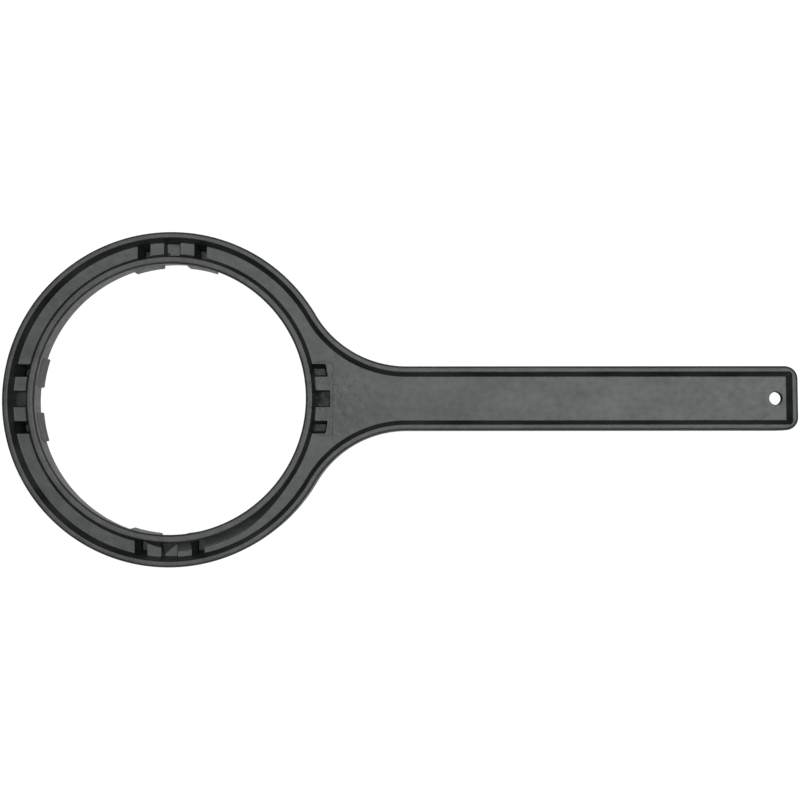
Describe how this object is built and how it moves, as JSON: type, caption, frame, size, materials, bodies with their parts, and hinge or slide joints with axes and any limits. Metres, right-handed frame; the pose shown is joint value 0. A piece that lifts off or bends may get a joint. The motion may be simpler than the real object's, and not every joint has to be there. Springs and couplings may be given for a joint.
{
  "type": "filter housing wrench",
  "caption": "One-piece plastic ring wrench: a lugged closed ring slips over a water filter bowl's collar and the long channelled handle turns it.",
  "frame": {"origin": "centre of the bounding box's bottom face, with the wrench lying on its back", "axes": "+X along the handle towards the hang hole, +Z out of the open front face and along the ring's axis, +Y across the handle; the ring's axis is at x = -0.1013, y = 0"},
  "size_m": [0.3508, 0.1482, 0.016],
  "materials": {
    "black_plastic": "black moulded polypropylene or ABS, satin, faint flow marks"
  },
  "bodies": {
    "root": {"wrench_body": "black_plastic"}
  },
  "joints": []
}
